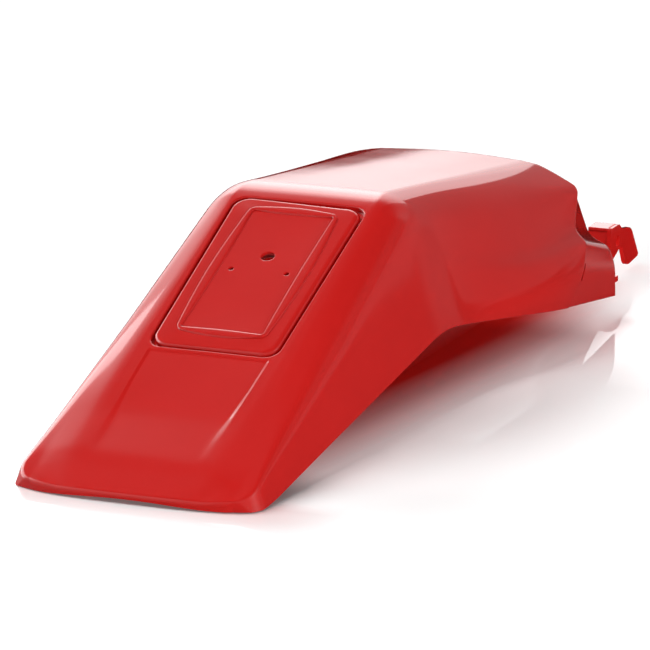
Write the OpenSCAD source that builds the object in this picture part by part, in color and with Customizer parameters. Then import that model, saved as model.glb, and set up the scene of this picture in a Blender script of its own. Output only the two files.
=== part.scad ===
// Rear fender of an off-road motorcycle, one injection moulding in red polypropylene.
// It stands on the floor on the end of its tail and on the two feet of its front arms.
// +X is the right side, +Y points forward and +Z up. The origin is on the floor, in the
// middle of the overall length and width.
// The shell is one lofted sheet: cross-sections follow one another from the tail to the
// front flange, and each one leans forward a little more than the one behind it, until
// the last one lies in the slanted plane of the step where the seat and side panels meet.

/* [Shell] */
// Thickness of the wall
wall = 3; // [2.5:0.1:3.5]
// Overall length from the tail end to the tips of the arms
overall_l = 666; // [640:1:700]
// Half width of the tail end
tail_half_w = 81; // [72:1:90]
// Half width of the shell at the step, across the bulge
front_half_w = 118.8; // [112:0.2:124]
// Radius of the tail corners seen from above
tail_corner_r = 18.5; // [12:0.5:26]
// How far the tail end bows backwards in its middle
tail_bow = 6.2; // [0:0.2:9]
// Radius of the rolled lip at the tail end
lip_r = 7; // [5:0.5:9]

/* [Tail slope and deck] */
// Height at which the slope would meet the tail end
slope_start_h = 11.3; // [9:0.1:16]
// Angle of the tail slope
slope_deg = 23.53; // [20:0.1:26]
// Distance from the tail end to the crest between slope and deck
crest_y = 277; // [268:1:290]
// Length over which the crest is rounded
crest_round = 30; // [10:1:36]
// Angle at which the deck falls forwards
deck_deg = 6.8; // [3:0.1:9]

/* [Crown and skirts] */
// How far the crown stays inside the lower edge at the tail
crown_in = 4; // [1:0.5:10]
// Taper of the crown up the slope, in mm per mm
crown_taper = 0.036; // [0:0.002:0.06]
// Half width of the crown where the deck begins to widen
deck_w = 64; // [60:1:68]
// Distance from the crest forwards at which the deck begins to widen
deck_widen_l = 33; // [23:1:53]
// Widening of the deck forwards, in mm per mm
deck_flare = 0.165; // [0.12:0.005:0.18]
// Drop from the centre line to the crown at the tail
crown_drop = 3; // [1:0.5:5]
// Growth of that drop forwards, in mm per mm
crown_drop_rate = 0.0275; // [0.02:0.0005:0.035]
// Largest drop from the centre line to the crown
crown_drop_max = 13.5; // [11:0.5:16]
// Half width of the flat middle of the slope at the tail
flat_tail_w = 44; // [36:1:50]
// How far the flat middle of the slope goes on beside the pocket for the pad
flat_margin = 6.5; // [3:0.5:9]
// Widening of the flat middle along the deck
flat_flare = 10; // [4:0.5:14]
// Rounding radius of the crown
crown_r = 12; // [6:0.5:16]
// Rounding radius of the crown at the step
crown_step_r = 4; // [3:0.5:8]
// Rise of the lower edge towards the front, in mm per mm
edge_rise = 0.181; // [0.16:0.001:0.19]
// Distance at which the lower edge leaves the floor
edge_start_y = 20.4; // [18:0.2:40]
// Distance from the crest forwards at which the lower edge is highest
edge_peak_l = 3; // [-12:1:18]
// Fall of the lower edge in front of its highest point, in mm per mm
edge_fall = 0.141; // [0.1:0.001:0.16]
// Widening of the lower edge up the slope, in mm per mm
skirt_flare = 0.032; // [0:0.002:0.05]
// Widening of the lower edge below the deck, in mm per mm
front_flare = 0.2; // [0.15:0.01:0.3]
// Distance in front of the step's foot at which the lower edge is at full width
flare_end = 16.7; // [0:0.1:30]

/* [Step, waist and flange] */
// How far the arms reach in front of the foot of the step plane
arm_reach = 252; // [235:1:260]
// Forward lean of the step plane, in mm per mm of height
step_lean = 1.057; // [0.9:0.005:1.1]
// Height of the waist below the shoulder at the step
waist_h = 67.5; // [64:0.5:72]
// Half width of the waist at the step
waist_half_w = 100.5; // [98:0.5:104]
// Height of the shoulder of the bulge at the step
bulge_h = 59.5; // [56:0.5:62]
// How far the shoulder of the bulge stays inside the bulge's widest line
bulge_in = 4.3; // [2:0.1:7]
// How far the lower edge stays inside the bulge's widest line
bulge_tuck = 3.4; // [2:0.1:7]
// Depth of the step down to the flange
step_in = 1.4; // [0.8:0.1:1.6]
// Distance from the foot of the step plane to the front edge of the flange
flange_l = 113.2; // [98:0.2:125]
// How far the flange goes on in front of the deck
flange_deck_l = 8; // [4:0.5:12]
// Length of the slots in the flange, measured upwards
slot_l = 12; // [8:0.5:15]
// Width of the slots in the flange, measured forwards
slot_w = 4.5; // [3:0.5:6]

/* [Lamp and plate pad] */
// Distance from the crest back to the frame bead's lower side
pad_back = 141.4; // [138:0.2:146]
// Length of the pocket for the pad, along the slope
pocket_l = 156; // [140:1:160]
// How far the pocket goes on below the frame bead
pocket_below = 17.6; // [12:0.2:22]
// Half width of the pocket at its lower end
pocket_low_w = 43.5; // [40:0.5:44]
// Half width of the pocket at its upper end
pocket_up_w = 45.5; // [40:0.5:46]
// Corner radius of the pocket
pocket_r = 9; // [5:0.5:12]
// Depth of the moat around the pad
moat_d = 4; // [2:0.5:5]
// Width of the moat around the pad
moat_w = 1.6; // [1:0.1:2.5]
// Height of the pad above the slope
pad_rise = 0.8; // [0.4:0.1:2]
// Rounding of the pad's upper edge
pad_round = 3; // [1:0.5:4]
// Thickness of the tray that backs the pad and the moat
tray_t = 2.5; // [2:0.5:4]
// Half width of the frame bead, measured at its middle line
bead_half_w = 29.1; // [24:0.1:31]
// Length of the frame bead, measured at its middle line
bead_l = 125.2; // [110:0.2:128]
// Width of the bead at its corners
bead_corner_w = 2.6; // [2:0.1:4]
// Width of the bead in the middle of a side
bead_mid_w = 7.4; // [4:0.1:8]
// Height of the frame bead
bead_h = 1.3; // [0.8:0.1:2]
// How far the sides of the bead bow outwards
bead_bow = 1; // [0:0.1:2.5]
// Land between the pocket and the panel below it
crease_gap = 2; // [1.5:0.1:4]
// Width of the crease around that panel
crease_w = 1.2; // [0.8:0.1:2]
// Depth of the crease
crease_d = 0.8; // [0.4:0.1:1.2]
// Half width of the panel below the pocket
crease_half_w = 40; // [37:0.5:42]
// Half width of the panel where its crease runs out at the tail
crease_tail_w = 36.5; // [34:0.5:39]
// Length of the panel along the slope
crease_l = 100; // [70:1:108]

/* [Holes] */
// Diameter of the wire hole
wire_d = 8.9; // [6:0.1:12]
// Distance of the wire hole up from the frame bead's lower side
wire_s = 79.3; // [72:0.1:90]
// Diameter of the screw holes
screw_d = 3.3; // [2.5:0.1:5]
// Half distance between the screw holes
screw_x = 18.9; // [12:0.1:22]
// Distance of the screw holes up from the frame bead's lower side
screw_s = 63.7; // [55:0.1:70]
// Diameter of the cross holes in the arms
arm_hole_d = 7.8; // [5:0.1:9]

/* [Front arms] */
// Outer face of the arms, from the middle plane
arm_x = 80.5; // [78:0.5:84]
// Thickness of the arm plates
arm_t = 3; // [2.5:0.1:4]
// Width of the bracket between arm plate and frame
bracket_w = 18; // [12:0.5:24]
// Length of the bracket's top plate
bracket_l = 15.7; // [12:0.1:18]
// Distance from the cross hole back to the bracket's cheek
bracket_back = 12.7; // [11:0.1:15]
// Height of the bracket's top above the cross hole
bracket_up = 11.2; // [9.5:0.1:13]
// Height of the bracket's cheek
cheek_h = 18.2; // [14:0.1:20]
// Sideways size of the foot under each arm
foot_w = 8; // [5:0.5:10]
// Length of the foot
foot_l = 5; // [3:0.5:7]
// Height of the foot
foot_h = 4; // [3:0.5:8]
// Distance of the cross hole from the arm's tip
hole_back = 40.8; // [38:0.2:44]
// Height of the cross hole above the floor
hole_h = 25; // [25:0.5:27]
// Length over which the arm's web is moulded to the wall
web_l = 40; // [30:1:50]

/* [Hidden] */
red = [0.78, 0.12, 0.12];
eps = 0.01;
arm_end_y = overall_l - tail_bow;
mid_y = overall_l / 2 - tail_bow;
step_y = arm_end_y - arm_reach;
flange_y = step_y + flange_l;
hole_y = arm_end_y - hole_back;
pad_y = crest_y - pad_back;
crown_w = tail_half_w - crown_in;
deck_widen_y = crest_y + deck_widen_l;
edge_peak_y = crest_y + edge_peak_l;
slope_t = tan(slope_deg);
deck_t = tan(deck_deg);
crest_h = slope_start_h + crest_y * slope_t;
crest_blend = (slope_t + deck_t) * crest_round / 2;
edge_peak_h = edge_rise * (edge_peak_y - edge_start_y);
// Sections start to lean where the slope's pocket lies, and the deck starts behind its top
lean_start_y = crest_y - 62;
deck_start_y = crest_y - 15;
deck_end_y = flange_y - 21;
// Length over which the sides change into waist and bulge, and the crown gets sharper
bulge_l = 110;
sharp_l = 60;
// Drop from the centre line to the edge of its flat middle, on the slope and on the deck
flat_drop = [0.25, 0.6];
flat_drop_front = 1.5;
// Rounding radii at the flat's edge, the side's corners behind the step and at the step
flat_r = [5, 14];
side_r = [9, 9, 12];
bulge_r = [8, 6, 12];
// How far the flange's corners lie inside waist, shoulder, bulge and lower edge
flange_in = [5, 7, 2, 1.9];
// How far the flange's corners lie below waist, shoulder and shoulder again
flange_drop = [15, 11.5, 25];
flange_r = [0, 14, 4, 7, 5, 10, 0];
// Heights of the flange's slots and their distances from the step
slot_h = [66, 39];
slot_gap = [5, 3];
// Fractions of the side's height at which its three inner corners lie on the tail
side_cuts = [0.45, 0.62, 0.82];
// Steps along the length: the rolled lip, the tail corners and then the long loft
lip_turns = [0, 22.5, 45, 67.5, 90];
n_bend = 4;
n_loft = 24;
n_flange = 3;

// A soft step from 0 to 1 between a and b
function ease(a, b, t) =
    let (u = min(1, max(0, (t - a) / (b - a))))
    u * u * (3 - 2 * u);
// The value between a and b at share t
function mix(a, b, t) = a + (b - a) * t;
// The smaller or larger of two values, rounded over a band of width w
function soft_min(a, b, w) = min(a, b) - pow(max(w - abs(a - b), 0), 2) / (4 * w);
function soft_max(a, b, w) = -soft_min(-a, -b, w);
// Forward lean of the cross-section that starts at v on the floor
function lean(v) = step_lean * ease(lean_start_y, step_y, v);
// Height at which the leaning section from v meets the line a + b * y
function meet(a, b, v) = (a + b * v) / (1 - b * lean(v));
// Height of the centre line
function top_h(v) = soft_min(
    meet(slope_start_h, slope_t, v),
    meet(crest_h + deck_t * crest_y, -deck_t, v),
    crest_blend);
// Height of the lower edge
function edge_h(v) = soft_max(0, soft_min(
    meet(-edge_rise * edge_start_y, edge_rise, v),
    meet(edge_peak_h + edge_fall * edge_peak_y, -edge_fall, v),
    7), 3);
// Half widths of the lower edge and the crown at a distance y
function edge_w(y) = soft_min(
    soft_max(
        tail_half_w + skirt_flare * y,
        front_half_w - bulge_tuck + front_flare * (y - step_y - flare_end), 5),
    front_half_w - bulge_tuck, 5);
function crown_half(y) = soft_max(
    crown_w - crown_taper * y,
    deck_w + deck_flare * (y - deck_widen_y), 10);
function drop(y) = soft_min(crown_drop + crown_drop_rate * y, crown_drop_max, 3);

// Corner points of the right half of the section that starts at v, from centre to edge
function corners(v) =
    let (
        l = lean(v),
        zt = top_h(v),
        yt = v + l * zt,
        zc = zt - drop(yt),
        yc = v + l * zc,
        ze = edge_h(v),
        front = ease(edge_peak_y, deck_end_y, yt),
        flat = mix(flat_tail_w, pocket_up_w + flat_margin, ease(tail_corner_r, pad_y, yt))
            + flat_flare * front,
        down = mix(flat_drop[0], flat_drop[1], ease(deck_start_y, crest_y + 50, yt))
            + flat_drop_front * front,
        xc = crown_half(yc),
        xe = edge_w(v + l * ze),
        s = [for (c = side_cuts) [mix(xc, xe, c), mix(zc, ze, c)]],
        w = [[waist_half_w, waist_h],
             [front_half_w - bulge_in, bulge_h],
             [front_half_w, (bulge_h + ze) / 2 + 1]],
        g = ease(step_y - bulge_l, step_y, v)
    )
    [for (p = concat(
            [[0, zt], [flat, zt - down], [xc, zc]],
            [for (k = [0:2]) mix(s[k], w[k], g)],
            [[xe, ze]]))
        [p[0], v + l * p[1], p[1]]];

// Rounding radii at those corners
function radii(v) =
    let (g = ease(step_y - sharp_l, step_y, v), side = mix(side_r, bulge_r, g))
    [0, mix(flat_r[0], flat_r[1], ease(deck_start_y, crest_y + 40, v)),
     mix(crown_r, crown_step_r, g), side[0], side[1], side[2], 0];

// A corner polyline rounded with parabolas; every section has as many points
function rounded(c, r) =
    let (
        n = len(c) - 1,
        l = [for (k = [0:n - 1]) norm(c[k + 1] - c[k])],
        q = [for (k = [0:n]) k == 0 || k == n ? 0 : min(r[k], 0.45 * l[k - 1], 0.45 * l[k])]
    )
    concat(
        [c[0]],
        [mix(c[0], c[1], 0.5)],
        [for (k = [1:n - 1])
            let (
                a = mix(c[k], c[k - 1], q[k] / l[k - 1]),
                b = mix(c[k], c[k + 1], q[k] / l[k])
            )
            for (i = [0:n_bend])
                let (t = i / n_bend)
                (1 - t) * (1 - t) * a + 2 * t * (1 - t) * c[k] + t * t * b],
        [mix(mix(c[n - 1], c[n], q[n - 1] / l[n - 1]), c[n], 0.5)],
        [c[n]]);

// Rounds the tail end: plan corners, the bow of the end and the rolled lip
function tail_form(p, v, h) =
    let (
        y = p[1] + tail_corner_r * (1 - cos(45)) * max(0, 1 - v / tail_corner_r) * h,
        k = max(0, tail_corner_r - y),
        cut = tail_corner_r - sqrt(max(0, tail_corner_r * tail_corner_r - k * k)),
        x = p[0] * (1 - cut / tail_half_w),
        u = max(0, 1 - v / lip_r),
        bow = tail_bow * (1 - pow(min(1, x / (tail_half_w - tail_corner_r + 2)), 4))
            * max(0, 1 - v / 60)
    )
    [x, y - bow, p[2] * sqrt(max(0, 1 - u * u))];

// Right half of the section that starts at v
function half_section(v) =
    let (
        c = corners(v),
        pts = rounded(c, radii(v)),
        zc = c[2][2],
        ze = c[6][2]
    )
    [for (p = pts) tail_form(p, v, min(1, max(0, (zc - p[2]) / max(1, zc - ze))))];

// Front edge of the flange, with corners that pair with those of the step
step_c = corners(step_y);
flange_c = [
    step_c[0] + [0, flange_deck_l, -deck_t * flange_deck_l],
    step_c[1] + [0, flange_deck_l, -deck_t * flange_deck_l],
    step_c[2] + [-2, 1.5, -2],
    [waist_half_w - flange_in[0], flange_y + 6, waist_h - flange_drop[0]],
    [front_half_w - flange_in[1], flange_y, bulge_h - flange_drop[1]],
    [front_half_w - flange_in[2], flange_y, bulge_h - flange_drop[2]],
    [front_half_w - flange_in[3], flange_y,
     step_c[6][2] - edge_fall * (flange_y - step_c[6][1])]];
flange_half = rounded(flange_c, flange_r);

// Stations along the length
lip_v = [for (t = lip_turns) lip_r * (1 - cos(t))];
loft_v = [for (i = [1:n_loft])
    let (t = i / n_loft)
    lip_r + (step_y - lip_r) * (0.55 * t + 0.45 * (1 - cos(90 * t)))];
body_rows = [for (v = concat(lip_v, loft_v)) half_section(v)];
step_row = body_rows[len(body_rows) - 1];
flange_rows = [for (i = [1:n_flange])
    [for (j = [0:len(step_row) - 1]) mix(step_row[j], flange_half[j], i / n_flange)]];

// Both halves of a row, from the left edge over the centre to the right edge
function whole(r) = concat(
    [for (j = [len(r) - 1:-1:1]) [-r[j][0], r[j][1], r[j][2]]],
    r);
base = [for (r = concat(body_rows, flange_rows)) whole(r)];
n_rows = len(base);
n_cols = len(base[0]);
step_i = len(body_rows) - 1;

// Outward unit normal of the base sheet, level along the edges that rest on the floor
function unit(a) = a / norm(a);
function normal_at(i, j) =
    let (
        a = max(i - 1, 0),
        b = min(i + 1, n_rows - 1),
        c = max(j - 1, 0),
        d = min(j + 1, n_cols - 1),
        m = cross(base[b][d] - base[a][c], base[b][c] - base[a][d]),
        level = i == 0 || j == 0 || j == n_cols - 1
    )
    unit([m[0], m[1], level ? 0 : m[2]]);
normals = [for (i = [0:n_rows - 1]) [for (j = [0:n_cols - 1]) normal_at(i, j)]];
// A row of the sheet moved inwards by d
function inset_row(i, d) = [for (j = [0:n_cols - 1])
    let (p = base[i][j] - d * normals[i][j])
    [p[0], p[1], max(0, p[2])]];

// A closed sheet from outer rows and inner rows of the same width
module sheet(outer, inner) {
    m = n_cols;
    no = len(outer);
    ni = len(inner);
    pts = [for (r = concat(outer, inner)) for (p = r) p];
    o = no * m;
    skin = [for (i = [0:no - 2]) for (j = [0:m - 2])
        let (a = i * m + j)
        for (f = [[a, a + m, a + m + 1], [a, a + m + 1, a + 1]]) f];
    lining = [for (i = [0:ni - 2]) for (j = [0:m - 2])
        let (a = o + i * m + j)
        for (f = [[a, a + m + 1, a + m], [a, a + 1, a + m + 1]]) f];
    // The jog of the step has one row more outside than inside
    jog = no - ni;
    side = [for (s = [0, m - 1])
        concat(
            [for (i = [0:no - 2])
                let (
                    a = i * m + s,
                    b = a + m,
                    c = o + (i <= step_i ? i : i - jog) * m + s,
                    d = o + (i < step_i ? i + 1 : i + 1 - jog) * m + s,
                    q = c == d ? [[a, c, b]] : [[a, c, d], [a, d, b]]
                )
                for (t = q) s == 0 ? t : [t[0], t[2], t[1]]])];
    ends = [for (j = [0:m - 2])
        let (
            a = j,
            b = o + j,
            c = (no - 1) * m + j,
            d = o + (ni - 1) * m + j
        )
        for (t = [[a, a + 1, b + 1], [a, b + 1, b], [c, d + 1, c + 1], [c, d, d + 1]]) t];
    polyhedron(pts, concat(skin, lining, side[0], side[1], ends), convexity = 8);
}

module shell() {
    outer = concat(
        [for (i = [0:step_i]) inset_row(i, 0)],
        [inset_row(step_i, step_in)],
        [for (i = [step_i + 1:n_rows - 1]) inset_row(i, step_in)]);
    inner = [for (i = [0:n_rows - 1]) inset_row(i, wall)];
    sheet(outer, inner);
}

// Places its children in the plane of the slope: x across, y up the slope, z outwards
module on_slope() {
    translate([0, pad_y, slope_start_h + pad_y * slope_t])
        rotate([slope_deg, 0, 0])
            children();
}

// Outline of the pocket, made smaller by d on every side
module pocket_outline(d) {
    r = max(1, pocket_r - d);
    y0 = -pocket_below + d + r;
    y1 = pocket_l - pocket_below - d - r;
    a = pocket_low_w - d - r;
    b = pocket_up_w - d - r;
    polygon([
        for (c = [[a, y0, -90], [b, y1, 0], [-b, y1, 90], [-a, y0, 180]])
            for (i = [0:8])
                [c[0] + r * cos(c[2] + i * 90 / 8), c[1] + r * sin(c[2] + i * 90 / 8)]]);
}

module pad() {
    translate([0, 0, -moat_d - 0.3])
        linear_extrude(moat_d + 0.3 + pad_rise - pad_round)
            pocket_outline(moat_w);
    hull()
        for (t = [0, 30, 60, 90])
            translate([0, 0, pad_rise - pad_round + pad_round * sin(t) - eps])
                linear_extrude(eps)
                    pocket_outline(moat_w + pad_round * (1 - cos(t)));
}

// Middle line of the frame bead with its half width, four sides with a lens-shaped plan
function bead_path() =
    let (
        w = bead_half_w,
        l = bead_l,
        c = [[-w, 0], [w, 0], [w, l], [-w, l]],
        n = 14
    )
    [for (k = [0:3]) for (i = [0:n - 1])
        let (
            t = i / n,
            a = c[k],
            b = c[(k + 1) % 4],
            p = mix(a, b, t),
            o = [(b - a)[1], -(b - a)[0]] / norm(b - a),
            s = pow(sin(180 * t), 0.9)
        )
        [p + o * bead_bow * s, mix(bead_corner_w, bead_mid_w, s) / 2]];

module bead() {
    path = bead_path();
    n = len(path);
    prof = [[-1, -0.6], [-1, 0.1], [-0.6, 0.8], [0, 1], [0.6, 0.8], [1, 0.1], [1, -0.6]];
    m = len(prof);
    pts = [for (i = [0:n - 1])
        let (
            p = path[i][0],
            d = path[(i + 1) % n][0] - path[(i + n - 1) % n][0],
            o = [d[1], -d[0]] / norm(d),
            k = i % (n / 4) == 0 ? 1.3 : 1
        )
        for (q = prof)
            [p[0] + o[0] * q[0] * path[i][1] * k, p[1] + o[1] * q[0] * path[i][1] * k,
             pad_rise + bead_h * q[1]]];
    faces = [for (i = [0:n - 1]) for (j = [0:m - 1])
        let (
            a = i * m + j,
            b = i * m + (j + 1) % m,
            c = ((i + 1) % n) * m + (j + 1) % m,
            d = ((i + 1) % n) * m + j
        )
        for (t = [[a, b, c], [a, c, d]]) t];
    polyhedron(pts, faces, convexity = 8);
}

// Crease around the panel below the pad, running out at the tail
module crease() {
    y1 = -pocket_below - crease_gap;
    w = crease_w;
    translate([0, 0, -crease_d])
        linear_extrude(crease_d + 3)
            difference() {
                polygon([
                    [-crease_half_w, y1], [crease_half_w, y1],
                    [crease_tail_w, y1 - crease_l], [-crease_tail_w, y1 - crease_l]]);
                polygon([
                    [w - crease_half_w, y1 - w], [crease_half_w - w, y1 - w],
                    [crease_tail_w - 0.2, y1 - crease_l - 1],
                    [0.2 - crease_tail_w, y1 - crease_l - 1]]);
            }
}

// Slots in the flange, cut along the step line
module slot(h, gap) {
    y0 = step_y + step_lean * h + gap;
    x0 = waist_half_w - 16.5;
    through = front_half_w + 11 - x0;
    for (s = [-1, 1])
        translate([s > 0 ? x0 : -x0 - through, 0, 0])
            rotate([90, 0, 90])
                linear_extrude(through)
                    polygon([
                        [y0, h],
                        [y0 + slot_w, h],
                        [y0 + slot_w + step_lean * slot_l, h + slot_l],
                        [y0 + step_lean * slot_l, h + slot_l]]);
}

// Side view of an arm plate: web, bracket cheek with its hole, hook and foot
module arm_outline() {
    // Deck height over the arm at the step, where the web runs into the wall
    side_fall = (step_c[1][2] - step_c[2][2]) / (step_c[2][0] - step_c[1][0]);
    deck_h = step_c[1][2] - side_fall * (arm_x - arm_t / 2 - step_c[1][0]);
    root_y = step_y + step_lean * deck_h;
    top = deck_h - wall / 2;
    // The wall over the arm rises backwards less than the deck, as the deck gets narrower
    rise = deck_t - side_fall * deck_flare * 2 / 3;
    cheek_y = hole_y - bracket_back - 5.3;
    difference() {
        polygon(concat(
            [[root_y - web_l, top + rise * web_l], [root_y - 2, top]],
            // Upper edge of the web, as shares of its way from the wall to the bracket
            [for (p = [[0.24, 46.5], [0.335, 36.5], [0.433, 26.4], [0.506, 16.8], [0.722, 7],
                       [0.873, 0.5], [1, -4.5]])
                [mix(root_y, cheek_y, p[0]), hole_h + p[1]]],
            // Bracket, hook and foot
            [for (p = [
                [-15, -5.5], [-bracket_back, bracket_up], [3, bracket_up], [9, 6.5], [24, 4.3], [28.2, 1.2],
                [hole_back, -18.3], [39, -19.7], [22.4, -21.5], [18, -21], [15, -18.5],
                [11.7, -11.6], [8.9, -6.4], [4, -5.5], [-2, -8.5], [-9, -11], [-11, -19],
                [-12, -hole_h], [-19, -hole_h], [-24, -16.5]])
                [hole_y + p[0], hole_h + p[1]]],
            // Lower edge of the web
            [[mix(root_y, cheek_y, 0.772), hole_h - 13.5], [mix(root_y, cheek_y, 0.101), hole_h - 8],
             [root_y - 31, hole_h + 3], [root_y - web_l, 60]]));
        translate([hole_y, hole_h])
            circle(d = arm_hole_d, $fn = 48);
    }
}

module arm() {
    translate([arm_x - arm_t, 0, 0])
        rotate([90, 0, 90])
            linear_extrude(arm_t)
                arm_outline();
    // Bracket: a top plate and a rear cheek, both inside the arm plate
    translate([arm_x - arm_t - bracket_w, hole_y - bracket_back, hole_h + bracket_up - arm_t])
        cube([bracket_w + arm_t / 2, bracket_l, arm_t]);
    translate([arm_x - arm_t - bracket_w, hole_y - bracket_back, hole_h + bracket_up - cheek_h])
        cube([bracket_w + arm_t / 2, arm_t, cheek_h - arm_t / 2]);
    // Foot that rests on the floor
    translate([arm_x - arm_t, hole_y - 12 - foot_l, 0])
        cube([foot_w, foot_l, foot_h]);
}

module fender() {
    through = moat_d + tray_t + pad_rise + 3;
    color(red)
        translate([0, -mid_y, 0])
            difference() {
                union() {
                    difference() {
                        union() {
                            shell();
                            on_slope()
                                translate([0, 0, -moat_d - tray_t])
                                    linear_extrude(moat_d + tray_t - wall / 2)
                                        pocket_outline(-tray_t);
                            arm();
                            mirror([1, 0, 0])
                                arm();
                        }
                        on_slope()
                            translate([0, 0, -moat_d])
                                linear_extrude(moat_d + 6)
                                    pocket_outline(0);
                        on_slope()
                            crease();
                        for (k = [0, 1])
                            slot(slot_h[k], slot_gap[k]);
                    }
                    on_slope() {
                        pad();
                        bead();
                    }
                }
                on_slope() {
                    translate([0, wire_s, -moat_d - tray_t - 1])
                        cylinder(d = wire_d, h = through, $fn = 64);
                    for (s = [-1, 1])
                        translate([s * screw_x, screw_s, -moat_d - tray_t - 1])
                            cylinder(d = screw_d, h = through, $fn = 32);
                }
            }
}

fender();
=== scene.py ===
# %% [markdown]
# # A motorcycle rear fender in Blender
# The real object is one injection moulding in glossy red polypropylene, photographed on a
# white gloss sheet. This lesson rebuilds its surface as numpy grids, dresses it, and lights
# it like the studio shot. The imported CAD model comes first, because it fixes size and place.

import bmesh
import bpy
import numpy as np
from mathutils import Matrix, Vector
from mathutils.geometry import delaunay_2d_cdt


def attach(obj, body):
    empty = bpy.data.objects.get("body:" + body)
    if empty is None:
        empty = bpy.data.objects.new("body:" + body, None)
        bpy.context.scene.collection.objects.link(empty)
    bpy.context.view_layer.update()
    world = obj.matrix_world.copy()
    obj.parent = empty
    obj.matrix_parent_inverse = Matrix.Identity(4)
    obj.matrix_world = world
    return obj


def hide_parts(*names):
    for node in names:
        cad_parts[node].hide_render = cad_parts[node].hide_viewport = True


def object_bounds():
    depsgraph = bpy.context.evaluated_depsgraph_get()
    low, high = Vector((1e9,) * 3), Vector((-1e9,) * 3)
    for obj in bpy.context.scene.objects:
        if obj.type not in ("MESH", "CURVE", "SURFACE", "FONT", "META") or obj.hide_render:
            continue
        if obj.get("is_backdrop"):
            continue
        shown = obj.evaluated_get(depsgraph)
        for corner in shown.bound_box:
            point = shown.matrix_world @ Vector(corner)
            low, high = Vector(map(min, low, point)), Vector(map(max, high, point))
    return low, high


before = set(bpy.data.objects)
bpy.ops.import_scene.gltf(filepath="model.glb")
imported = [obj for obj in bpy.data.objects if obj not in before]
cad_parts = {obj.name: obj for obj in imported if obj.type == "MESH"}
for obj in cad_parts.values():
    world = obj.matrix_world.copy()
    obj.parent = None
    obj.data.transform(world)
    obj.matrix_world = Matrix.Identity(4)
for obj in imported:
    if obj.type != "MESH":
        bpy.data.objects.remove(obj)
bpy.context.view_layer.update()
bpy.context.scene.view_settings.view_transform = "Standard"

# %% [markdown]
# ## Helpers
# Colours are written as sRGB hex values, as a paint chart gives them. Cycles works in linear
# light, so one function turns them. A second one adds any shader node with its settings and
# links, which keeps the materials below short.

# %% Colour and node helpers
def linear(hex_colour):
    """sRGB hex to linear RGBA: c/12.92 below 0.04045, else ((c + 0.055) / 1.055) ** 2.4."""
    c = np.array([int(hex_colour[i : i + 2], 16) / 255 for i in (1, 3, 5)])
    c = np.where(c <= 0.04045, c / 12.92, ((c + 0.055) / 1.055) ** 2.4)
    return (*map(float, c), 1.0)


def add_node(tree, kind, settings=None, **sockets):
    """Adds a node; settings are its properties, sockets its inputs: values or (node, output)."""
    node = tree.nodes.new(kind)
    for key, value in (settings or {}).items():
        setattr(node, key, value)
    for key, value in sockets.items():
        name = key.replace("_", " ")
        socket = node.inputs[int(name)] if name.strip().isdigit() else node.inputs[name]
        if isinstance(value, tuple) and isinstance(value[0], bpy.types.Node):
            tree.links.new(value[0].outputs[value[1]], socket)
        else:
            socket.default_value = value
    return node


def new_material(name):
    material = bpy.data.materials.new(name)
    material.use_nodes = True
    material.node_tree.nodes.clear()
    return material, material.node_tree


print("helpers ready, pure red is", linear("#ff0000"))

# %% [markdown]
# ## Camera
# The camera was fitted to the photograph: a long lens about four metres away, 23 degrees
# round to the right and 15 degrees up, rolled a third of a degree. A long lens keeps the
# sides of the fender almost parallel, as product shots do.

# %% Camera
TAIL_TO_MIDDLE = 0.3268
azimuth, elevation, roll = np.radians([23.2955, 14.796, -0.3733])
aim = Vector((-0.0541585, 0.4236468 - TAIL_TO_MIDDLE, 0.0))
look = Vector((
    -np.sin(azimuth) * np.cos(elevation),
    np.cos(azimuth) * np.cos(elevation),
    -np.sin(elevation),
))
right = Vector((np.cos(azimuth), np.sin(azimuth), 0.0))
up = right.cross(look)
side_axis = right * np.cos(roll) + up * np.sin(roll)
up_axis = up * np.cos(roll) - right * np.sin(roll)
camera_data = bpy.data.cameras.new("camera")
camera_data.sensor_width = 36.0
camera_data.lens = 6000.0 / 650.0 * 36.0
camera_data.clip_start, camera_data.clip_end = 0.1, 50.0
camera = bpy.data.objects.new("camera", camera_data)
camera.matrix_world = Matrix.Translation(aim - look * 3.9946113) @ Matrix(
    (side_axis, up_axis, -look)
).transposed().to_4x4()
bpy.context.scene.collection.objects.link(camera)
bpy.context.scene.camera = camera
print("camera lens", round(camera_data.lens, 1), "mm at", [round(v, 3) for v in camera.location])

# %% [markdown]
# ## Red gloss polypropylene
# Moulded polypropylene is dyed through, so its colour is even. The tool's polished face gives
# a gloss a little softer than lacquer, and slow cooling leaves very shallow waves of a few
# centimetres, which bend the reflections. So the material is one red, a low roughness and a
# faint bump from a broad noise.

# %% Material of the moulding
def moulded_polypropylene():
    material, tree = new_material("moulded red polypropylene")
    where = add_node(tree, "ShaderNodeTexCoord")
    waves = add_node(tree, "ShaderNodeTexNoise", Vector=(where, "Object"), Scale=18.0, Detail=1.0)
    bump = add_node(tree, "ShaderNodeBump", Height=(waves, "Fac"), Strength=0.05, Distance=0.002)
    # The pigment and the polish of the mould vary a little over some 40 mm
    patches = add_node(tree, "ShaderNodeTexNoise", Vector=(where, "Object"), Scale=26.0, Detail=3.0)
    polish = add_node(tree, "ShaderNodeMapRange", Value=(patches, "Fac"), From_Min=0.3, From_Max=0.7, To_Min=0.08, To_Max=0.1)
    pigment = add_node(tree, "ShaderNodeMix", {"data_type": "RGBA"}, _0=(patches, "Fac"),
                       _6=linear("#c01c19"), _7=linear("#c81e1b"))
    gloss = add_node(
        tree,
        "ShaderNodeBsdfPrincipled",
        Base_Color=(pigment, 2),
        Roughness=(polish, "Result"),
        IOR=1.49,
        Normal=(bump, "Normal"),
    )
    add_node(tree, "ShaderNodeOutputMaterial", Surface=(gloss, "BSDF"))
    return material


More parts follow.
